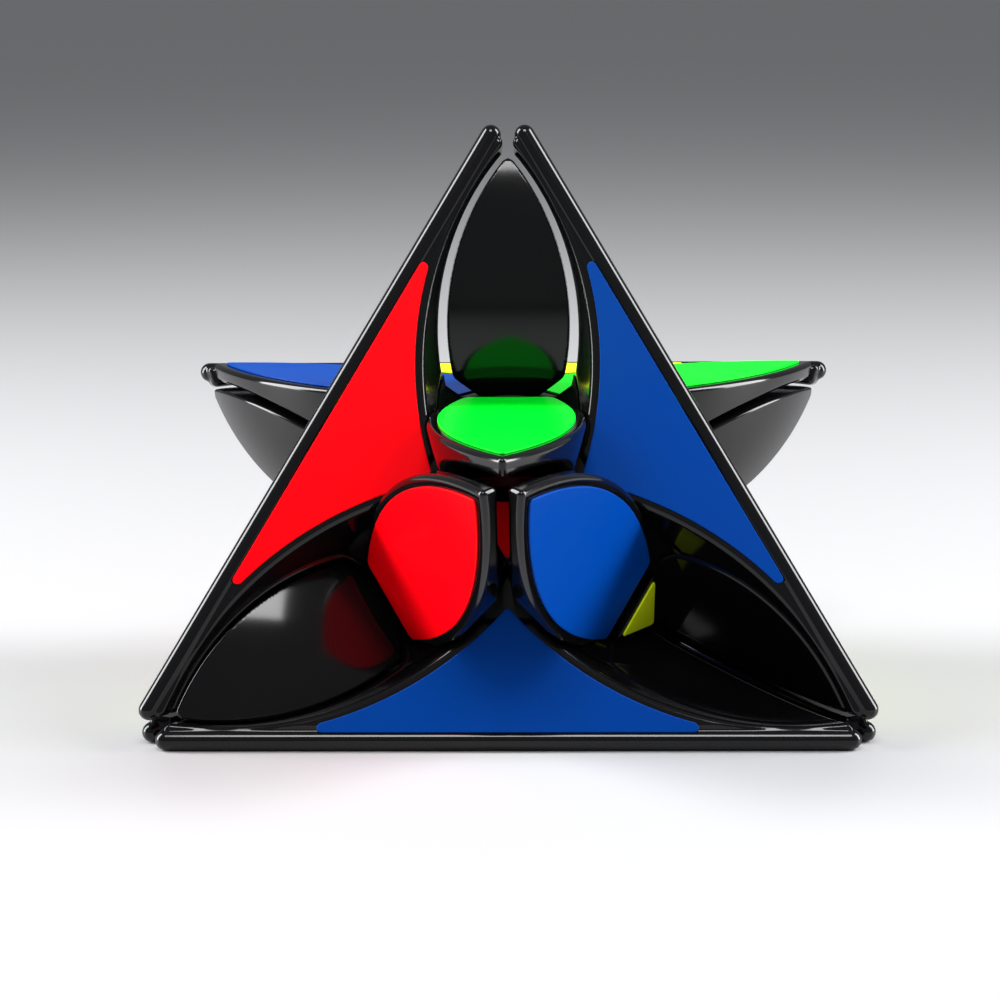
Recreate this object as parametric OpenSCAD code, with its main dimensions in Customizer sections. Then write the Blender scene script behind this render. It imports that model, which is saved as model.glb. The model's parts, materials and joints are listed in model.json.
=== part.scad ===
// Pyramid twisty puzzle: a 3 x 3 x 3 turning mechanism inside a tetrahedron, shown part-turned.
// It stands on its base with Z up. The viewer's side is -Y and the origin is under the apex.
//
// The pieces are drawn in the cube frame: its centre is the puzzle's centre, and its +X, +Y and
// +Z are the turning axes of the upper left, upper right and back edges. The tetrahedron's
// corners are four of that cube's corners. in_puzzle() stands the cube frame on the base.

/* [Tetrahedron] */
// Edge of the tetrahedron, measured along the centre lines of its rims
edge = 105; // [95:1:115]
// Radius of the round rim that runs along each edge
rim_r = 1.45; // [1.2:0.05:1.8]
// Distance of a rim's last full section from the tetrahedron's corner
rim_inset = 4.85; // [4.6:0.05:6.5]
// Height of the rim's middle above the shoulder of the plates beside it
rim_step = 0.35; // [0.2:0.05:0.45]

/* [Turning layers] */
// Distance of a turning layer's flat cut from the puzzle's centre
cut_depth = 10.1; // [9.6:0.1:10.6]
// Distance of a cutting ball's middle from the puzzle's centre
ball_pos = 56.2; // [55.8:0.1:56.6]
// Radius of a cutting ball
ball_r = 52.2; // [51.8:0.1:52.6]
// Clearance between neighbouring pieces at the flat cuts and round the feet
gap = 0.4; // [0.3:0.05:0.5]
// Clearance between neighbouring pieces at the ball cuts
ball_gap = 0.65; // [0.5:0.05:0.8]
// How far the corners stand out of the puzzle along their diagonals
corner_lift = 1; // [0:0.1:1]
// Slip of the two side petals of the top about the upper edges' axes, which raises their tips
petal_slip = 1.1; // [0:0.1:1.1]

/* [Tiles] */
// Thickness of a coloured tile
tile_t = 0.3; // [0.2:0.05:0.5]
// Black border between an edge tile and the curved side of its plate
edge_border = 1.2; // [0.6:0.1:1.6]
// Half length of an edge tile along the rim
edge_tile_reach = 26.5; // [24:0.5:28]
// Black border between a petal's tile and its curved sides
petal_border = 1.6; // [1.2:0.1:2.4]
// Black border between a petal's tile and its straight end
petal_end_border = 1.2; // [0.8:0.1:1.8]
// Black border round the small triangular tile of a flat corner
flat_border = 0.5; // [0.4:0.1:1.2]

/* [Mechanism] */
// Radius of the ball in which the feet of the pieces run
track_r = 21.5; // [21:0.1:21.8]
// Distance of the feet's flat cut from the puzzle's centre
track_depth = 6; // [5.8:0.1:6.4]
// Radius of the hollow round the core
hollow_r = 11; // [11:0.1:11.6]
// Distance from the centre at which an edge's cap sits on its base
cap_seat = 24; // [23.6:0.1:24.6]
// Radius of the screws' shanks
screw_r = 1.25; // [1:0.05:1.4]
// Radius of the screws' heads
screw_head_r = 3.2; // [2.8:0.1:3.4]
// Radius of the springs' wire
wire_r = 0.35; // [0.25:0.05:0.4]

/* [Hidden] */
$fn = 96;

BLACK = [0.03, 0.03, 0.035];
RED = [0.85, 0, 0.05];
BLUE = [0, 0.2, 0.65];
GREEN = [0.05, 0.85, 0.2];
YELLOW = [0.85, 0.85, 0.12];

// The six turning axes of the cube frame.
X = [1, 0, 0];
Y = [0, 1, 0];
Z = [0, 0, 1];
AXES = [X, Y, Z, -X, -Y, -Z];

half = edge / sqrt(8);                    // half side of the cube
rim_line = edge / (2 * sqrt(6));          // centre to the plane through three rims
face = rim_line + rim_r;                  // centre to the outer faces of the tiles
plate = face - tile_t;                    // centre to the plates under the tiles
rim_end = half - rim_inset / sqrt(2);     // cube coordinate of the rim's last full section
big = 3 * edge;                           // larger than the whole puzzle
skin = gap / 2;                           // clearance given by each of two neighbours
ball_ease = (ball_gap - gap) / 2;         // what each of them gives more at a ball cut
rim_foot = sqrt(rim_r * rim_r - pow(rim_r - tile_t, 2)); // rim's middle to where a plate meets it
tile_clear = 0.02;                        // clearance between a rim and the tile beside it

// Fittings on each turning axis, as distances from the puzzle's centre.
hub_r = 6.6;
arm_r = 3.4;
arm_end = sqrt(pow(hollow_r - skin, 2) - pow(arm_r, 2));
pilot_start = 5;
pocket_floor = 17;
pocket_r = 4.2;
shank_clear = 0.35;
thread_clear = 0.05;
washer_t = 0.4;
washer_r = 3.5;
head_t = 1.6;
head_top = cap_seat - 0.2;
washer_top = head_top - head_t;
drive_r = 1.3;
drive_depth = 0.9;
spring_r = 2.7;
spring_turns = 4;
spring_steps = 12;
wire_sides = 5;
spring_clear = 0.1;
stud_r = 1.1;
stud_depth = 2.4;
stud_pos = 6.4;
stud_clear = 0.05;
cap_relief = 1;

function unit(v) = v / norm(v);

// The part of a direction that lies in the plane across a unit normal.
function in_plane(v, n) = v - (v * n) * n;

// ---- frames ----

// Stands the cube frame on the tetrahedron's base, with its (1, 1, 1) corner at the apex.
module in_puzzle() {
    translate([0, 0, face])
        rotate([0, 0, -135])
            rotate(a = acos(1 / sqrt(3)), v = [1, -1, 0])
                children();
}

// Turns X, Y and Z to the three given directions, in the order that keeps it a rotation.
module turned(a, b, c) {
    proper = cross(a, b) * c > 0;
    p = proper ? a : b;
    q = proper ? b : a;
    multmatrix([
        [p.x, q.x, c.x, 0],
        [p.y, q.y, c.y, 0],
        [p.z, q.z, c.z, 0],
        [0, 0, 0, 1]
    ]) children();
}

// Turns +Z to the given axis.
module along(axis) {
    spin = abs(axis.z) > 0 ? (axis.z > 0 ? 0 : 180) : 90;
    rotate(a = spin, v = abs(axis.z) > 0 ? X : cross(Z, axis))
        children();
}

// Everything below a plane that has the given normal and distance from the centre.
module below(normal, distance) {
    n = unit(normal);
    rotate([0, acos(n.z), atan2(n.y, n.x)])
        translate([-big / 2, -big / 2, distance - big])
            cube(big);
}

// Everything beyond a plane across Z at the given height.
module above_z(height) {
    translate([-big / 2, -big / 2, height])
        cube(big);
}

// ---- turning layers ----

// The layer that turns about +Z is a cap and the feet under it. A layer is shrunk to make its
// own pieces, and grown to make the room that it takes from the others.
module z_cap(grow) {
    ease = grow > 0 ? ball_ease : -ball_ease;
    intersection() {
        translate([0, 0, ball_pos]) sphere(ball_r + ease + grow);
        above_z(cut_depth - grow);
    }
}

module z_feet(grow) {
    intersection() {
        sphere(track_r + grow);
        above_z(track_depth - grow);
    }
}

module z_layer(grow) {
    z_cap(grow);
    z_feet(grow);
}

module layer(axis, grow) {
    along(axis) z_layer(grow);
}

module hollow() {
    sphere(hollow_r);
}

// ---- edge pieces, drawn on +Z with the rim along the (1, 1, 0) diagonal ----

PLATE_A = [1, -1, 1];
PLATE_B = [-1, 1, 1];

// A rim: a rod with round ends, turned about its own axis.
module rim() {
    length = 2 * rim_end * sqrt(2);
    rotate([0, 0, 45])
        translate([-length / 2, 0, half])
            rotate([0, 90, 0])
                rotate_extrude()
                    intersection() {
                        union() {
                            circle(rim_r);
                            square([rim_r, length]);
                            translate([0, length]) circle(rim_r);
                        }
                        translate([0, -rim_r]) square([rim_r, length + 2 * rim_r]);
                    }
}

// The whole edge piece without its screw pocket: a cap and a base in one.
module edge_blank() {
    difference() {
        union() {
            intersection() {
                z_layer(-skin);
                below(PLATE_A, plate);
                below(PLATE_B, plate);
                below(Z, half - rim_step);
            }
            rim();
        }
        for (axis = [X, -X, Y, -Y]) layer(axis, skin);
        hollow();
    }
}

module cap_studs(extra_r, extra_depth) {
    for (a = [45, 135, 225, 315])
        rotate([0, 0, a])
            translate([stud_pos, 0, cap_seat - stud_depth - extra_depth])
                cylinder(r = stud_r + extra_r, h = stud_depth + extra_depth + 0.5);
}

module edge_base() {
    difference() {
        intersection() {
            edge_blank();
            below(Z, cap_seat);
        }
        translate([0, 0, hollow_r / 2]) cylinder(r = screw_r + shank_clear, h = cap_seat);
        translate([0, 0, pocket_floor]) cylinder(r = pocket_r, h = cap_seat);
        cap_studs(stud_clear, 0.3);
    }
}

module edge_cap() {
    difference() {
        intersection() {
            edge_blank();
            above_z(cap_seat);
        }
        translate([0, 0, cap_seat - 1]) cylinder(r = pocket_r, h = 1 + cap_relief);
    }
    cap_studs(0, 0);
}

// A tile on one of an edge piece's two plates, reaching up to the rim.
module edge_tile(normal) {
    difference() {
        intersection() {
            z_layer(-skin);
            below(normal, face);
            rotate([0, 0, 45]) cube([2 * edge_tile_reach, big, big], center = true);
            below(in_plane(Z, unit(normal)), edge / (2 * sqrt(3)) - rim_foot - tile_clear);
        }
        below(normal, plate);
        for (axis = [X, -X, Y, -Y]) layer(axis, skin + edge_border);
    }
}

// ---- petals, drawn between +X and +Y with the tip towards +Z ----

PETAL_FACE = [1, 1, -1];

module petal_space(inset, end_inset) {
    difference() {
        intersection() {
            layer(X, -inset);
            layer(Y, -inset);
        }
        layer(Z, skin);
        layer(-Z, skin + end_inset);
    }
}

module petal() {
    difference() {
        intersection() {
            petal_space(skin, 0);
            below(PETAL_FACE, plate);
        }
        hollow();
    }
}

module petal_tile() {
    difference() {
        intersection() {
            petal_space(skin + petal_border, petal_end_border);
            below(PETAL_FACE, face);
        }
        below(PETAL_FACE, plate);
    }
}

// ---- corners, drawn at (1, 1, 1) ----

CORNER = [1, 1, 1];

// The outer part of a corner: the caps of its three layers, moved out along the diagonal.
module corner_head(inset, depth, lift) {
    translate(lift * unit(CORNER))
        intersection() {
            along(X) z_cap(-inset);
            along(Y) z_cap(-inset);
            z_cap(-inset);
            below(CORNER, depth);
        }
}

// The inner part, which keeps it in the puzzle.
module corner_foot() {
    intersection() {
        along(X) z_feet(-skin);
        along(Y) z_feet(-skin);
        z_feet(-skin);
    }
}

module corner(depth, lift) {
    difference() {
        union() {
            corner_head(skin, depth, lift);
            corner_foot();
        }
        hollow();
    }
}

module flat_tile(lift) {
    difference() {
        corner_head(skin + flat_border, face, lift);
        translate(lift * unit(CORNER)) below(CORNER, plate);
    }
}

// ---- mechanism, drawn on +Z ----

module screw() {
    difference() {
        union() {
            translate([0, 0, pilot_start]) cylinder(r = screw_r, h = head_top - pilot_start);
            translate([0, 0, washer_top]) cylinder(r = screw_head_r, h = head_t);
        }
        translate([0, 0, head_top - drive_depth]) cylinder(r = drive_r, h = head_t, $fn = 6);
    }
}

module washer() {
    translate([0, 0, washer_top - washer_t])
        difference() {
            cylinder(r = washer_r, h = washer_t);
            translate([0, 0, -1]) cylinder(r = screw_r + thread_clear, h = washer_t + 2);
        }
}

// A point on the spring's wire: the turn's angle, and the angle round the wire.
function coil_point(a, b, rise) = [
    (spring_r + wire_r * cos(b)) * cos(a),
    (spring_r + wire_r * cos(b)) * sin(a),
    rise * a / 360 + wire_r * sin(b)
];

module spring() {
    room = washer_top - washer_t - pocket_floor - 2 * (spring_clear + wire_r);
    rings = spring_steps * spring_turns;
    sides = [for (j = [0:wire_sides - 1]) j];
    points = [
        for (i = [0:rings], j = sides)
            coil_point(360 * i / spring_steps, -360 * j / wire_sides, room / spring_turns)
    ];
    skin_faces = [
        for (i = [0:rings - 1], j = sides)
            let (k = (j + 1) % wire_sides, p = i * wire_sides, q = p + wire_sides)
                each [[p + j, p + k, q + k], [p + j, q + k, q + j]]
    ];
    last = rings * wire_sides;
    end_faces = [[for (j = sides) wire_sides - 1 - j], [for (j = sides) last + j]];
    translate([0, 0, pocket_floor + spring_clear + wire_r])
        polyhedron(points, concat(skin_faces, end_faces));
}

module core_spider() {
    difference() {
        union() {
            sphere(hub_r);
            for (axis = AXES) along(axis) cylinder(r = arm_r, h = arm_end);
        }
        for (axis = AXES)
            along(axis)
                translate([0, 0, pilot_start]) cylinder(r = screw_r + thread_clear, h = arm_end);
    }
}

// ---- placed pieces ----

// Places a part drawn on +Z on several axes.
module on_axes(axes) {
    in_puzzle()
        for (axis = axes) along(axis) children();
}

// Places an edge piece: the two directions whose sum runs along its rim, then its axis.
module edge_at(u, v, axis) {
    in_puzzle() turned(u, v, axis) children();
}

module edge_cap_at(u, v, axis) {
    color(BLACK) edge_at(u, v, axis) edge_cap();
}

module edge_base_at(u, v, axis) {
    color(BLACK) edge_at(u, v, axis) edge_base();
}

module edge_tile_at(u, v, axis, normal, colour) {
    color(colour) edge_at(u, v, axis) edge_tile(normal);
}

// Places a petal between two axes, with its tip towards a third direction and slipped by an
// angle about its first axis.
module petal_at(a, b, tip, slip = 0) {
    color(BLACK) in_puzzle() rotate(a = slip, v = a) turned(a, b, tip) petal();
}

module petal_tile_at(a, b, tip, colour, slip = 0) {
    color(colour) in_puzzle() rotate(a = slip, v = a) turned(a, b, tip) petal_tile();
}

// Places a corner where three axes' layers meet: a whole one, or one cut off under a tile.
module spike_at(a, b, c) {
    color(BLACK) in_puzzle() turned(a, b, c) corner(edge, corner_lift);
}

module flat_at(a, b, c, lift = corner_lift) {
    color(BLACK) in_puzzle() turned(a, b, c) corner(plate, lift);
}

module flat_tile_at(a, b, c, colour, lift = corner_lift) {
    color(colour) in_puzzle() turned(a, b, c) flat_tile(lift);
}

module core() {
    color("dimgray") in_puzzle() core_spider();
}

module screws() {
    color("silver") on_axes(AXES) screw();
}

module springs() {
    color("gainsboro") on_axes(AXES) spring();
}

module washers() {
    color("silver") on_axes(AXES) washer();
}

module edge_bases_frame() {
    edge_base_at(Y, Z, X);
    edge_base_at(Z, X, Y);
    edge_base_at(-Z, X, -Y);
    edge_base_at(Y, -Z, -X);
}

module tiles_right_side() {
    edge_tile_at(Z, X, Y, PLATE_A, YELLOW);
    edge_tile_at(Y, -Z, -X, PLATE_A, YELLOW);
}

module tiles_underside() {
    edge_tile_at(-Z, X, -Y, PLATE_A, GREEN);
    edge_tile_at(Y, -Z, -X, PLATE_B, GREEN);
}

// ---- nodes ----

// The core and its fittings.
core();
screws();
springs();
washers();
edge_bases_frame();
edge_base_at(-Y, X, Z);  // edge_base_back
edge_base_at(X, -Y, -Z);  // edge_base_front

// The caps of the six edges. The back one is turned a quarter from the others.
edge_cap_at(Y, Z, X);  // edge_cap_top_left
edge_cap_at(Z, X, Y);  // edge_cap_top_right
edge_cap_at(-Z, X, -Y);  // edge_cap_left_rear
edge_cap_at(Y, -Z, -X);  // edge_cap_right_rear
edge_cap_at(-Y, X, Z);  // edge_cap_back
edge_cap_at(X, -Y, -Z);  // edge_cap_front

// The tiles of the edges.
edge_tile_at(Y, Z, X, PLATE_A, RED);  // tile_top_left_front
edge_tile_at(Y, Z, X, PLATE_B, BLUE);  // tile_top_left_side
edge_tile_at(Z, X, Y, PLATE_B, BLUE);  // tile_top_right_front
tiles_right_side();
edge_tile_at(-Z, X, -Y, PLATE_B, RED);  // tile_left_rear_side
tiles_underside();
edge_tile_at(-Y, X, Z, PLATE_B, YELLOW);  // tile_back_upper
edge_tile_at(-Y, X, Z, PLATE_A, RED);  // tile_back_lower
edge_tile_at(X, -Y, -Z, PLATE_A, BLUE);  // tile_front_face
edge_tile_at(X, -Y, -Z, PLATE_B, GREEN);  // tile_front_underside

// The petals: the two layers that share each one, then the way its tip points.
petal_at(X, Y, -Z);  // petal_top_front
petal_at(X, Z, -Y, -petal_slip);  // petal_top_left
petal_at(Y, Z, -X, petal_slip);  // petal_top_right
petal_at(X, -Z, Y);  // petal_front_left
petal_at(Y, -Z, X);  // petal_front_right
petal_at(X, -Y, -Z);  // petal_left_rear
petal_at(Y, -X, -Z);  // petal_right_rear
petal_at(-Y, Z, -X);  // petal_back_left
petal_at(-X, Z, -Y);  // petal_back_right
petal_at(-Y, -Z, X);  // petal_base_left
petal_at(-X, -Z, Y);  // petal_base_right
petal_at(-X, -Y, Z);  // petal_base_back

// The tiles of the petals.
petal_tile_at(X, Y, -Z, GREEN);  // tile_petal_top_front
petal_tile_at(X, Z, -Y, BLUE, -petal_slip);  // tile_petal_top_left
petal_tile_at(Y, Z, -X, GREEN, petal_slip);  // tile_petal_top_right
petal_tile_at(X, -Z, Y, RED);  // tile_petal_front_left
petal_tile_at(Y, -Z, X, BLUE);  // tile_petal_front_right
petal_tile_at(X, -Y, -Z, YELLOW);  // tile_petal_left_rear
petal_tile_at(Y, -X, -Z, YELLOW);  // tile_petal_right_rear
petal_tile_at(-Y, Z, -X, RED);  // tile_petal_back_left
petal_tile_at(-X, Z, -Y, BLUE);  // tile_petal_back_right
petal_tile_at(-Y, -Z, X, GREEN);  // tile_petal_base_left
petal_tile_at(-X, -Z, Y, YELLOW);  // tile_petal_base_right
petal_tile_at(-X, -Y, Z, RED);  // tile_petal_base_back

// The corners. The one under the puzzle is pressed in by the surface that it stands on.
spike_at(X, Y, Z);  // spike_top
spike_at(X, -Y, -Z);  // spike_left
spike_at(X, -Y, Z);  // spike_rear_left
spike_at(-X, Y, Z);  // spike_rear_right
flat_at(-X, Y, -Z);  // flat_right
flat_at(X, Y, -Z);  // flat_front
flat_at(-X, -Y, Z);  // flat_rear
flat_at(-X, -Y, -Z, 0);  // flat_base

// The tiles of the flat corners.
flat_tile_at(-X, Y, -Z, YELLOW);  // tile_flat_right
flat_tile_at(X, Y, -Z, RED);  // tile_flat_front
flat_tile_at(-X, -Y, Z, BLUE);  // tile_flat_rear
flat_tile_at(-X, -Y, -Z, GREEN, 0);  // tile_flat_base
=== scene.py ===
"""The looks of the pyramid twisty puzzle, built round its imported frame.

Every black piece is a rounded solid given by a distance function and meshed here. The pieces are
described in the cube frame, in millimetres: its middle is the puzzle's centre and its +X, +Y and
+Z are the turning axes of the upper left, upper right and back edges.
"""

import json
import math

import bpy
import numpy as np
from mathutils import Matrix, Vector


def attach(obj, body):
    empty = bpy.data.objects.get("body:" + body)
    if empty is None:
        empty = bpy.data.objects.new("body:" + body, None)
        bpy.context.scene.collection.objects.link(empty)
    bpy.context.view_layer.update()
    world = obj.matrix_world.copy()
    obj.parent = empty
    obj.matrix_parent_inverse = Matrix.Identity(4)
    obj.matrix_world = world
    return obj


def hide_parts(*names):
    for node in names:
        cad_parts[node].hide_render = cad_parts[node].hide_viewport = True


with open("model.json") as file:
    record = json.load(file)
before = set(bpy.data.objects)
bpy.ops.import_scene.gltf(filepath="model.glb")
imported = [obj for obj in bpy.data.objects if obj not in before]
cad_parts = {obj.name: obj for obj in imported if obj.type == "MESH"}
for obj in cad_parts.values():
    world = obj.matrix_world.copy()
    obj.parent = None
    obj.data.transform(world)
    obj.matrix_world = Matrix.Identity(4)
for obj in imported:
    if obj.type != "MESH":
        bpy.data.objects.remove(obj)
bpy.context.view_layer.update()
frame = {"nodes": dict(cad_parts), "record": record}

MM = 0.001

# ---- sizes of the puzzle, in millimetres ----

# The construction edge runs between the points where the rims' centre lines would meet. Each rim
# is a rod that ends short of them, on a cap whose top lies a step below the rod's centre line.
EDGE = 105.0
RIM_R = 1.45
RIM_INSET = 4.85
RIM_STEP = 0.35

# What bounds a turning layer: a flat cut at this distance from the middle, and a ball.
CUT_DEPTH = 10.1
BALL_POS = 56.2
BALL_R = 52.2

# How far each piece stands back from a cut, and a little more at the ball.
SKIN = 0.2
BALL_EASE = 0.125

# How the loose pieces lie out of true: corners moved outward, and petals turned by degrees.
CORNER_LIFT = 1.0
PETAL_SLIP = 1.1

# The tiles' thickness, the feet's track inside, and the seats of the edge caps.
TILE_T = 0.3
TRACK_R = 21.5
TRACK_DEPTH = 6.0
HOLLOW_R = 11.0
CAP_SEAT = 24.0

HALF = EDGE / math.sqrt(8)
FACE = EDGE / (2 * math.sqrt(6)) + RIM_R
PLATE = FACE - TILE_T
RIM_END = HALF - RIM_INSET / math.sqrt(2)
EDGE_LINE = EDGE / (2 * math.sqrt(3))
RIM_FOOT = math.sqrt(RIM_R**2 - (RIM_R - TILE_T) ** 2)

# Rounding of the moulded edges, and how far out a spike's tip is cut off.
PLATE_ROUND = 0.8
PETAL_ROUND = 0.9
CORNER_ROUND = 0.4
TIP_DEPTH = 56.0
TIP_ROUND = 0.6
CREASE = 0.35

# Tiles: borders, the edge tiles' half length, their clearance at the rim, and rounding.
EDGE_BORDER = 1.2
EDGE_TILE_REACH = 26.5
PETAL_BORDER = 1.6
PETAL_END_BORDER = 1.2
FLAT_BORDER = 0.5
TILE_CLEAR = 0.02
TILE_ROUND = 0.08
EDGE_TILE_CORNER = 0.6
PETAL_TILE_CORNER = 0.7
FLAT_TILE_CORNER = 0.5

X, Y, Z = np.eye(3)


def unit(v):
    return np.asarray(v, float) / np.linalg.norm(v)


PLATE_A = unit([1, -1, 1])
PLATE_B = unit([-1, 1, 1])
PETAL_FACE = unit([1, 1, -1])
CORNER = unit([1, 1, 1])
ALONG_RIM = unit([1, 1, 0])


# ---- distance functions: negative inside, points in the last axis ----


def meet(parts, radius=0.0):
    """The intersection of solids, with its convex edges rounded."""
    if radius == 0:
        return np.maximum.reduce(parts)
    inner = np.maximum.reduce(parts) + radius
    total = sum(np.square(np.maximum(p + radius, 0)) for p in parts)
    return np.minimum(inner, 0) + np.sqrt(total) - radius


def join(a, b, radius):
    """The union of two solids, with a fillet of about the given radius where they meet."""
    return -meet([-a, -b], radius)


def ball(p, centre, radius):
    return np.linalg.norm(p - centre, axis=-1) - radius


def below(p, normal, distance):
    return p @ normal - distance


def layer_sides(p, axis, grow):
    """The ball and the flat cut that bound a turning layer, moved outward by an amount."""
    ease = math.copysign(BALL_EASE, grow)
    return [ball(p, BALL_POS * axis, BALL_R + ease + grow), below(p, -axis, grow - CUT_DEPTH)]


def layer_feet(p, axis, grow):
    """The track ball and the flat cut that bound a turning layer's feet, moved outward."""
    return [ball(p, 0 * axis, TRACK_R + grow), below(p, -axis, grow - TRACK_DEPTH)]


def outside(p, axis, grow):
    """Everything that isn't in a turning layer, as two solids to meet."""
    return [-meet(layer_sides(p, axis, grow), CREASE), -meet(layer_feet(p, axis, grow))]


def petal(p):
    """A petal: one plate and the balls of its two layers, on a foot, clear of the other layers."""
    cut = [d for axis in (Z, -Z) for d in outside(p, axis, SKIN)]
    cut.append(-ball(p, 0 * X, HOLLOW_R))
    outer = [d for axis in (X, Y) for d in layer_sides(p, axis, -SKIN)]
    foot = [d for axis in (X, Y) for d in layer_feet(p, axis, -SKIN)]
    plate = [below(p, PETAL_FACE, PLATE)]
    return join(meet(outer + cut + plate, PETAL_ROUND), meet(foot + cut), CREASE)


def corner(p, lift, depth, end_round):
    """A corner's head, moved out along its diagonal and cut off across it, on its foot."""
    q = p - lift * CORNER
    sides = meet([d for axis in (X, Y, Z) for d in layer_sides(q, axis, -SKIN)], CORNER_ROUND)
    head = meet([sides, below(q, CORNER, depth)], end_round)
    foot = meet([d for axis in (X, Y, Z) for d in layer_feet(p, axis, -SKIN)])
    return meet([join(head, foot, CREASE), -ball(p, 0 * X, HOLLOW_R)])


def spike(p):
    """The corner under a tip of the pyramid."""
    return corner(p, CORNER_LIFT, TIP_DEPTH, TIP_ROUND)


def flat(p):
    """The corner in the middle of a face."""
    return corner(p, CORNER_LIFT, PLATE, CORNER_ROUND)


def base_flat(p):
    """The corner in the middle of the base, which isn't moved out."""
    return corner(p, 0, PLATE, CORNER_ROUND)


def rim(p):
    """The rod along an edge, with round ends."""
    reach = np.clip(p @ ALONG_RIM, -RIM_END * math.sqrt(2), RIM_END * math.sqrt(2))
    return np.linalg.norm(p - reach[..., None] * ALONG_RIM - HALF * Z, axis=-1) - RIM_R


def edge_cap(p):
    """An edge's cap: two plates that meet at its rim, clear of the four neighbouring layers."""
    sides = layer_sides(p, Z, -SKIN)
    plates = [below(p, PLATE_A, PLATE), below(p, PLATE_B, PLATE), below(p, Z, HALF - RIM_STEP)]
    cut = [d for axis in (X, -X, Y, -Y) for d in outside(p, axis, SKIN)]
    body = meet(sides + plates + cut + [below(p, -Z, -CAP_SEAT)], PLATE_ROUND)
    return join(body, rim(p), CREASE)


def in_slab(p, normal, outline):
    """A tile: an outline's walls, between the plate and the outer face."""
    return meet([outline, below(p, normal, FACE), below(p, -normal, -PLATE)], TILE_ROUND)


def on_plane(p, normal):
    """The points moved square onto the plate's plane, so that a tile's walls are upright."""
    return p + (PLATE - p @ normal)[..., None] * normal


def edge_tile(p):
    """The tile on one plate of an edge's cap."""
    q = on_plane(p, PLATE_A)
    up = unit(Z - (Z @ PLATE_A) * PLATE_A)
    radius = BALL_R + BALL_EASE + SKIN + EDGE_BORDER
    walls = [-ball(q, BALL_POS * axis, radius) for axis in (X, -X, Y, -Y)]
    walls.append(below(q, up, EDGE_LINE - RIM_FOOT - TILE_CLEAR))
    walls += [below(q, side, EDGE_TILE_REACH) for side in (ALONG_RIM, -ALONG_RIM)]
    return in_slab(p, PLATE_A, meet(walls, EDGE_TILE_CORNER))


def petal_tile(p):
    q = on_plane(p, PETAL_FACE)
    radius = BALL_R - BALL_EASE - SKIN - PETAL_BORDER
    walls = [ball(q, BALL_POS * axis, radius) for axis in (X, Y)]
    walls.append(below(q, -Z, CUT_DEPTH - SKIN - PETAL_END_BORDER))
    return in_slab(p, PETAL_FACE, meet(walls, PETAL_TILE_CORNER))


def flat_tile(p):
    q = on_plane(p, CORNER)
    walls = [below(q, -axis, -CUT_DEPTH - SKIN - FLAT_BORDER) for axis in (X, Y, Z)]
    return in_slab(p, CORNER, meet(walls, FLAT_TILE_CORNER))


# ---- meshing ----

# The step of a gradient, and how many times a net's points are drawn onto the surface.
NUDGE = 0.004
DRAWS = 4


def gradient(solid, p):
    """The outward unit normal of a distance function."""
    g = np.stack([solid(p + NUDGE * axis) - solid(p - NUDGE * axis) for axis in (X, Y, Z)], axis=-1)
    return g / np.maximum(np.linalg.norm(g, axis=-1), 1e-9)[..., None]


def grid_values(solid, frame_axes, low, counts, step):
    """The distance at every node of a grid, worked out one slice at a time."""
    ticks = [low[k] + step[k] * np.arange(counts[k]) for k in range(3)]
    v, w = np.meshgrid(ticks[1], ticks[2], indexing="ij")
    values = np.empty(counts, np.float32)
    for i, u in enumerate(ticks[0]):
        local = np.stack([np.full_like(v, u), v, w], axis=-1)
        values[i] = solid(local @ frame_axes)
    return values


def at_corner(grid, corner_index):
    """A grid's values at the same corner of each of its cells."""
    spans = [slice(c, n - 1 + c) for c, n in zip(corner_index, grid.shape)]
    return grid[tuple(spans)]


def cell_points(values, inside):
    """The cells that the surface crosses, and in each the mean of its edges' crossings."""
    cells = [n - 1 for n in values.shape]
    crossing_sum = np.zeros(cells + [3])
    crossings = np.zeros(cells)
    corners = [(i, j, k) for i in (0, 1) for j in (0, 1) for k in (0, 1)]
    for start, axis in [(c, axis) for c in corners for axis in range(3) if c[axis] == 0]:
        end = tuple(start[k] + (k == axis) for k in range(3))
        a, b = at_corner(values, start), at_corner(values, end)
        cross = at_corner(inside, start) != at_corner(inside, end)
        t = np.where(cross, a / np.where(cross, a - b, 1), 0)
        for k in range(3):
            crossing_sum[..., k] += cross * (start[k] + (t if k == axis else 0))
        crossings += cross
    used = crossings > 0
    return used, crossing_sum[used] / crossings[used][:, None]


def cell_faces(inside, index):
    """A four-sided face for every grid edge that the surface crosses, between the cells round it."""
    faces = []
    for axis in range(3):
        u, v = (axis + 1) % 3, (axis + 2) % 3
        lower = [slice(1, n - 1) for n in inside.shape]
        lower[axis] = slice(0, inside.shape[axis] - 1)
        upper = list(lower)
        upper[axis] = slice(1, inside.shape[axis])
        places = np.argwhere(inside[tuple(lower)] != inside[tuple(upper)])
        places[:, u] += 1
        places[:, v] += 1
        leaving = inside[tuple(places.T)]
        quad = []
        for du, dv in ((0, 0), (-1, 0), (-1, -1), (0, -1)):
            cell = places.copy()
            cell[:, u] += du
            cell[:, v] += dv
            quad.append(index[tuple(cell.T)])
        quad = np.stack(quad, axis=1)
        faces.append(np.where(leaving[:, None], quad, quad[:, ::-1]))
    return np.concatenate(faces)


def surface_net(values, low, step):
    """Points and four-sided faces of the surface where a grid of distances is zero."""
    inside = values < 0
    used, within = cell_points(values, inside)
    points = low + step * (np.argwhere(used) + within)
    index = np.full(used.shape, -1)
    index[used] = np.arange(len(points))
    return points, cell_faces(inside, index)


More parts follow.
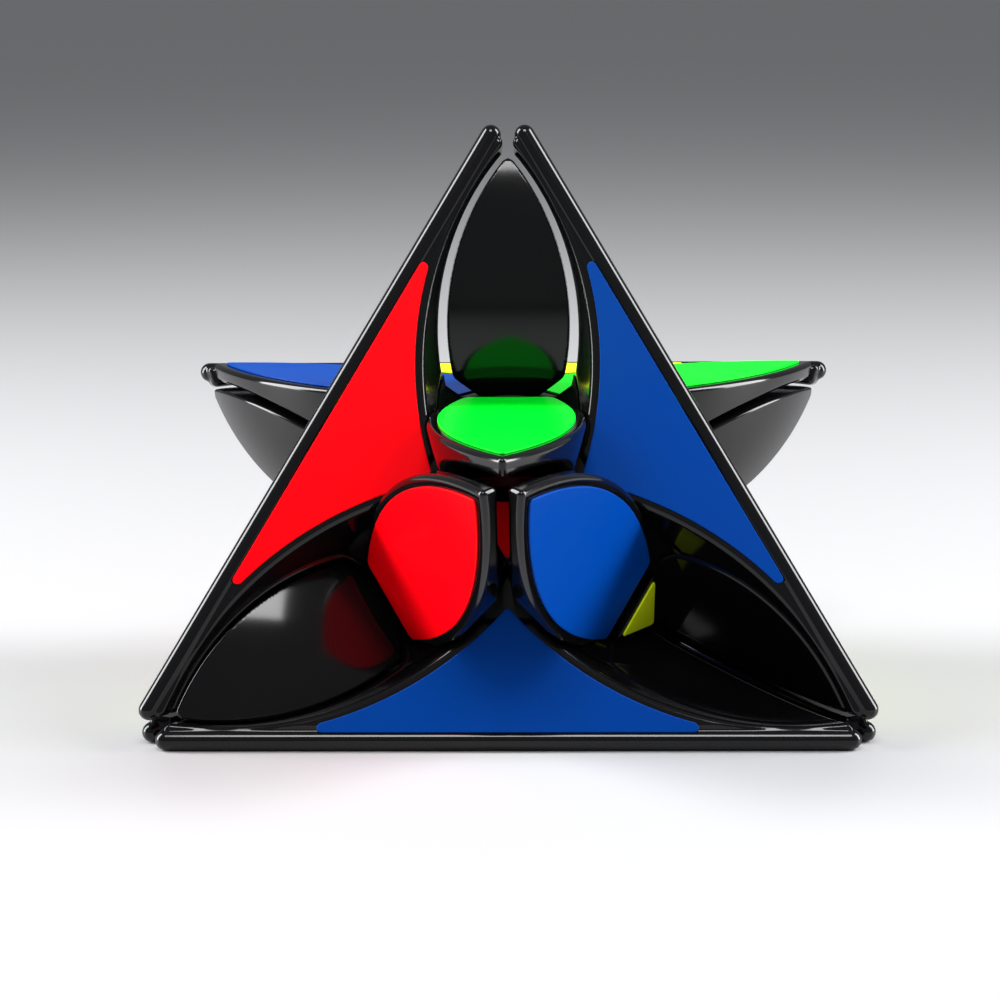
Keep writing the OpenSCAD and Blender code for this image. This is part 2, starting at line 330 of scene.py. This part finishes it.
def solid_shape(solid, frame_axes, low, high, step):
    """A solid's points, faces and normals: a surface net drawn onto the exact surface."""
    low, high, step = (np.asarray(a, float) for a in (low, high, step))
    counts = np.ceil((high - low) / step).astype(int) + 1
    values = grid_values(solid, frame_axes, low, counts, step)
    points, faces = surface_net(values, low, step)
    points = points @ frame_axes
    for _ in range(DRAWS):
        points -= solid(points)[:, None] * gradient(solid, points)
    return points, faces, gradient(solid, points)


def frame_of(normal, up):
    """Rows of a grid frame: across, up and out of a face."""
    out = unit(normal)
    up = unit(up - (up @ out) * out)
    return np.array([np.cross(up, out), up, out])


# Grid axes, and the spacing of the grids in millimetres.
CUBE_AXES = np.eye(3)
DIAGONAL_AXES = frame_of(Z, unit([-1, 1, 0]))
STEP = 0.3
TILE_STEP = [0.35, 0.35, 0.06]


# ---- materials ----

# Noise textures: scale and detail.
FLOW = (60, 4)
GRAIN = (900, 2)
SCRATCH = (1500, 3)

# The part of the noise's range that is used, and the height of bumps in metres.
NOISE_LOW = 0.3
NOISE_HIGH = 0.7
BUMP_HEIGHT = 0.00002

# Finishes: the least and greatest roughness, the strength of the bumps and the refractive index.
GLOSS = {"rough": (0.08, 0.13), "waviness": 0.05, "ior": 1.38}
SATIN = {"rough": (0.3, 0.4), "waviness": 0.12, "ior": 1.15}
MATT = {"rough": (0.45, 0.6), "waviness": 0.3, "ior": 1.5}

# Each plastic's finish and the two shades that its flow marks run between.
PLASTICS = {
    "black_plastic": (GLOSS, (0.002, 0.002, 0.0025), (0.003, 0.003, 0.0035)),
    "core_plastic": (MATT, (0.05, 0.05, 0.055), (0.065, 0.065, 0.07)),
    "tile_red": (SATIN, (0.95, 0.0, 0.004), (0.88, 0.0, 0.004)),
    "tile_blue": (SATIN, (0.0, 0.045, 0.28), (0.0, 0.04, 0.255)),
    "tile_green": (SATIN, (0.0, 0.88, 0.02), (0.0, 0.80, 0.02)),
    "tile_yellow": (SATIN, (0.78, 0.95, 0.01), (0.72, 0.88, 0.01)),
}

# The steels' colours, their least and greatest roughness and the strength of their scratches.
STEELS = {"screw_steel": (0.6, 0.6, 0.61), "spring_steel": (0.72, 0.72, 0.74)}
STEEL_ROUGH = (0.2, 0.4)
STEEL_SCRATCHES = 0.2


def node_material(name):
    material = bpy.data.materials.new(name)
    material.use_nodes = True
    return material, material.node_tree.nodes, material.node_tree.links


def add_noise(nodes, links, texture, low=0, high=1):
    """A noise texture, and its value spread between low and high."""
    scale, detail = texture
    place_at = nodes.new("ShaderNodeTexCoord")
    noise = nodes.new("ShaderNodeTexNoise")
    noise.inputs["Scale"].default_value = scale
    noise.inputs["Detail"].default_value = detail
    links.new(place_at.outputs["Object"], noise.inputs["Vector"])
    spread = nodes.new("ShaderNodeMapRange")
    spread.inputs["From Min"].default_value = NOISE_LOW
    spread.inputs["From Max"].default_value = NOISE_HIGH
    spread.inputs["To Min"].default_value = low
    spread.inputs["To Max"].default_value = high
    links.new(noise.outputs["Fac"], spread.inputs["Value"])
    return noise, spread.outputs["Result"]


def add_bump(nodes, links, shader, noise, strength):
    bump = nodes.new("ShaderNodeBump")
    bump.inputs["Strength"].default_value = strength
    bump.inputs["Distance"].default_value = BUMP_HEIGHT
    links.new(noise.outputs["Fac"], bump.inputs["Height"])
    links.new(bump.outputs["Normal"], shader.inputs["Normal"])


def moulded_plastic(name, finish, colour, shade):
    """Plastic with faint flow marks and a little uneven polish."""
    material, nodes, links = node_material(name)
    shader = nodes["Principled BSDF"]
    shader.inputs["IOR"].default_value = finish["ior"]
    flow, rough = add_noise(nodes, links, FLOW, *finish["rough"])
    links.new(rough, shader.inputs["Roughness"])
    tint = nodes.new("ShaderNodeMix")
    tint.data_type = "RGBA"
    tint.inputs["A"].default_value = (*colour, 1)
    tint.inputs["B"].default_value = (*shade, 1)
    links.new(flow.outputs["Fac"], tint.inputs["Factor"])
    links.new(tint.outputs["Result"], shader.inputs["Base Color"])
    grain, _ = add_noise(nodes, links, GRAIN)
    add_bump(nodes, links, shader, grain, finish["waviness"])
    return material


def plated_steel(name, colour):
    """Bright metal with fine scratches."""
    material, nodes, links = node_material(name)
    shader = nodes["Principled BSDF"]
    shader.inputs["Metallic"].default_value = 1
    shader.inputs["Base Color"].default_value = (*colour, 1)
    scratches, rough = add_noise(nodes, links, SCRATCH, *STEEL_ROUGH)
    links.new(rough, shader.inputs["Roughness"])
    add_bump(nodes, links, shader, scratches, STEEL_SCRATCHES)
    return material


materials = {name: moulded_plastic(name, *looks) for name, looks in PLASTICS.items()}
materials.update({name: plated_steel(name, colour) for name, colour in STEELS.items()})


# ---- pieces ----

slots = {row["node"]: row["material_slot"] for row in frame["record"]["subparts"]}
body_of_node = {
    node: body for body, members in frame["record"]["behaviour"]["bodies"].items() for node in members
}

# From the cube frame to the part's own: the cube is stood on a corner and turned to face the
# front, and its middle is raised above the base.
STAND = Matrix.Rotation(math.acos(1 / math.sqrt(3)), 3, Vector((1, -1, 0)))
CUBE_TO_PART = np.array(Matrix.Rotation(math.radians(-135), 3, "Z") @ STAND)
MIDDLE = np.array([0, 0, FACE])

# The two side petals of the top lie out of true, by these turns in degrees.
SLIPS = {"petal_top_left": -PETAL_SLIP, "petal_top_right": PETAL_SLIP}


def turned(a, b, c):
    """The rotation that takes Z to c, and X and Y to a and b or, where that would mirror, b and a."""
    first, second = (b, a) if np.cross(a, b) @ c < 0 else (a, b)
    return np.array([first, second, c]).T


def slip_of(node, axis):
    """The turn about an axis by which a petal and its tile lie out of true."""
    angle = SLIPS.get(node.removeprefix("tile_"), 0)
    return np.array(Matrix.Rotation(math.radians(angle), 3, Vector(axis)))


def build_mesh(name, points, faces, normals):
    mesh = bpy.data.meshes.new(name)
    mesh.vertices.add(len(points))
    mesh.vertices.foreach_set("co", (points * MM).ravel())
    mesh.loops.add(faces.size)
    mesh.loops.foreach_set("vertex_index", faces.ravel().astype(np.int32))
    mesh.polygons.add(len(faces))
    mesh.polygons.foreach_set("loop_start", np.arange(0, faces.size, 4, dtype=np.int32))
    mesh.polygons.foreach_set("use_smooth", np.ones(len(faces), bool))
    mesh.update(calc_edges=True)
    mesh.normals_split_custom_set_from_vertices(normals.tolist())
    return mesh


def place(node, shape, *places):
    """The piece that stands for a CAD node: one shape, at one place or more in the puzzle."""
    points, faces, normals = shape
    own_x = places[0][0]
    turns = [CUBE_TO_PART @ slip_of(node, own_x) @ turned(*axes) for axes in places]
    mesh = build_mesh(
        node,
        np.concatenate([points @ turn.T + MIDDLE for turn in turns]),
        np.concatenate([faces + i * len(points) for i in range(len(turns))]),
        np.concatenate([normals @ turn.T for turn in turns]),
    )
    mesh.materials.append(materials[slots[node]])
    shown = bpy.data.objects.new("look_" + node, mesh)
    bpy.context.scene.collection.objects.link(shown)
    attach(shown, body_of_node[node])
    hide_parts(node)


# ---- shapes, drawn once each ----

# How far the meshing grids reach: each one holds its whole shape, with room to spare.
GRID_START = 5
PETAL_DROP = 12
PETAL_REACH = 1.5 * HALF
FLAT_REACH = 25
CAP_HALF_WIDTH = 22
TILE_ROOM = 0.15


def tile_shape(tile, normal, low, high):
    """A tile's shape, from a grid that lies on its plate and is fine through its thickness."""
    low, high = (*low, PLATE - TILE_ROOM), (*high, FACE + TILE_ROOM)
    return solid_shape(tile, frame_of(normal, Z), low, high, TILE_STEP)


def corner_shape(solid, reach):
    """A corner's shape, from a grid along the cube's axes."""
    return solid_shape(solid, CUBE_AXES, [GRID_START] * 3, [reach] * 3, [STEP] * 3)


CAP_LOW = (-EDGE / 2, -CAP_HALF_WIDTH, CAP_SEAT - 1)
CAP_HIGH = (EDGE / 2, CAP_HALF_WIDTH, HALF + 3)
CAP = solid_shape(edge_cap, DIAGONAL_AXES, CAP_LOW, CAP_HIGH, [STEP] * 3)
PETAL_LOW = (GRID_START, GRID_START, -PETAL_DROP)
PETAL = solid_shape(petal, CUBE_AXES, PETAL_LOW, [PETAL_REACH] * 3, [STEP] * 3)
SPIKE = corner_shape(spike, HALF + 1)
FLAT = corner_shape(flat, FLAT_REACH)
BASE_FLAT = corner_shape(base_flat, FLAT_REACH)

# A tile's grid is given by two corners, across and up its plate.
EDGE_TILE = tile_shape(edge_tile, PLATE_A, (-31, 6), (31, EDGE_LINE))
PETAL_TILE = tile_shape(petal_tile, PETAL_FACE, (-14, 2), (14, 56))
BASE_FLAT_TILE = tile_shape(flat_tile, CORNER, (-8, -8), (8, 8))
FLAT_TILE = (BASE_FLAT_TILE[0] + CORNER_LIFT * CORNER, *BASE_FLAT_TILE[1:])

# ---- where the pieces go: the directions that X, Y and Z are turned to ----

EDGES = {
    "top_left": (Y, Z, X),
    "top_right": (Z, X, Y),
    "left_rear": (-Z, X, -Y),
    "right_rear": (Y, -Z, -X),
    "back": (-Y, X, Z),
    "front": (X, -Y, -Z),
}
PETALS = {
    "top_front": (X, Y, -Z),
    "top_left": (X, Z, -Y),
    "top_right": (Y, Z, -X),
    "front_left": (X, -Z, Y),
    "front_right": (Y, -Z, X),
    "left_rear": (X, -Y, -Z),
    "right_rear": (Y, -X, -Z),
    "back_left": (-Y, Z, -X),
    "back_right": (-X, Z, -Y),
    "base_left": (-Y, -Z, X),
    "base_right": (-X, -Z, Y),
    "base_back": (-X, -Y, Z),
}
SPIKES = {"top": (X, Y, Z), "left": (X, -Y, -Z), "rear_left": (X, -Y, Z), "rear_right": (-X, Y, Z)}
FLATS = {"right": (-X, Y, -Z), "front": (X, Y, -Z), "rear": (-X, -Y, Z)}


def on_plate_a(edge):
    return EDGES[edge]


def on_plate_b(edge):
    """Plate B is plate A after half a turn about the edge's axis."""
    u, v, axis = EDGES[edge]
    return (-u, -v, axis)


EDGE_TILES = {
    "tile_top_left_front": [on_plate_a("top_left")],
    "tile_top_left_side": [on_plate_b("top_left")],
    "tile_top_right_front": [on_plate_b("top_right")],
    "tiles_right_side": [on_plate_a("top_right"), on_plate_a("right_rear")],
    "tile_left_rear_side": [on_plate_b("left_rear")],
    "tiles_underside": [on_plate_a("left_rear"), on_plate_b("right_rear")],
    "tile_back_upper": [on_plate_b("back")],
    "tile_back_lower": [on_plate_a("back")],
    "tile_front_face": [on_plate_a("front")],
    "tile_front_underside": [on_plate_b("front")],
}

for name, axes in EDGES.items():
    place("edge_cap_" + name, CAP, axes)
for name, axes in PETALS.items():
    place("petal_" + name, PETAL, axes)
    place("tile_petal_" + name, PETAL_TILE, axes)
for name, axes in SPIKES.items():
    place("spike_" + name, SPIKE, axes)
for name, axes in FLATS.items():
    place("flat_" + name, FLAT, axes)
    place("tile_flat_" + name, FLAT_TILE, axes)
place("flat_base", BASE_FLAT, (-X, -Y, -Z))
place("tile_flat_base", BASE_FLAT_TILE, (-X, -Y, -Z))
for node, places in EDGE_TILES.items():
    place(node, EDGE_TILE, *places)

# The core and its fittings keep their CAD meshes.
for node, shown in frame["nodes"].items():
    if not shown.hide_render:
        shown.data.materials.clear()
        shown.data.materials.append(materials[slots[node]])


# ---- floor, light and camera, in metres and watts ----

FLOOR_SIZE = 24.0
FLOOR_DROP = 0.00002
FLOOR_COLOUR = (0.42, 0.42, 0.43, 1)
FLOOR_ROUGH = 0.5
STUDIO_COLOUR = (0.9, 0.92, 0.95, 1)
STUDIO_STRENGTH = 0.28
LIGHT_AIM = Vector((0, 0, 0.04))

# Each softbox's place, width, height and power.
SOFTBOXES = {
    "left strip": ((-0.6, 0.04, 0.32), 0.26, 0.7, 11.0),
    "right strip": ((0.6, 0.04, 0.32), 0.26, 0.7, 11.0),
    "top": ((0, -0.5, 0.8), 0.35, 0.3, 5.5),
}

# The camera's place in millimetres, its angles in degrees, its focal length as a multiple of the
# sensor's width, that width in millimetres, and where its view starts.
CAMERA_DISTANCE = 414.0
CAMERA_HEIGHT = 109.07
CAMERA_SIDE = -1.48
CAMERA_PITCH = 10.87
CAMERA_YAW = 1.234
CAMERA_ROLL = -0.377
CAMERA_FOCAL = 2.857
SENSOR = 36.0
CLIP_START = 0.01


def add_floor():
    bpy.ops.mesh.primitive_plane_add(size=FLOOR_SIZE, location=(0, 0, -FLOOR_DROP))
    floor = bpy.context.object
    floor.name = "floor"
    material, nodes, _ = node_material("floor")
    shader = nodes["Principled BSDF"]
    shader.inputs["Base Color"].default_value = FLOOR_COLOUR
    shader.inputs["Roughness"].default_value = FLOOR_ROUGH
    floor.data.materials.append(material)


def add_softbox(name, place_at, width, height, power):
    light = bpy.data.lights.new(name, "AREA")
    light.shape = "RECTANGLE"
    light.size = width
    light.size_y = height
    light.energy = power
    lamp = bpy.data.objects.new(name, light)
    bpy.context.scene.collection.objects.link(lamp)
    lamp.location = place_at
    lamp.rotation_euler = (LIGHT_AIM - Vector(place_at)).to_track_quat("-Z", "Y").to_euler()


def add_world():
    world = bpy.data.worlds.new("studio")
    bpy.context.scene.world = world
    world.use_nodes = True
    back = world.node_tree.nodes["Background"]
    back.inputs["Color"].default_value = STUDIO_COLOUR
    back.inputs["Strength"].default_value = STUDIO_STRENGTH


def add_camera():
    """The camera: its place and tilt, then a turn of both about the puzzle's upright axis."""
    data = bpy.data.cameras.new("camera")
    data.sensor_width = SENSOR
    data.lens = CAMERA_FOCAL * SENSOR
    data.clip_start = CLIP_START
    camera = bpy.data.objects.new("camera", data)
    bpy.context.scene.collection.objects.link(camera)
    turn = Matrix.Rotation(math.radians(CAMERA_YAW), 4, "Z")
    stand = Matrix.Translation(Vector((CAMERA_SIDE, -CAMERA_DISTANCE, CAMERA_HEIGHT)) * MM)
    tilt = Matrix.Rotation(math.radians(90 - CAMERA_PITCH), 4, "X")
    roll = Matrix.Rotation(math.radians(CAMERA_ROLL), 4, "Z")
    camera.matrix_world = turn @ stand @ tilt @ roll
    bpy.context.scene.camera = camera


add_floor()
add_world()
for name, box in SOFTBOXES.items():
    add_softbox(name, *box)
add_camera()
bpy.context.scene.view_settings.view_transform = "Standard"
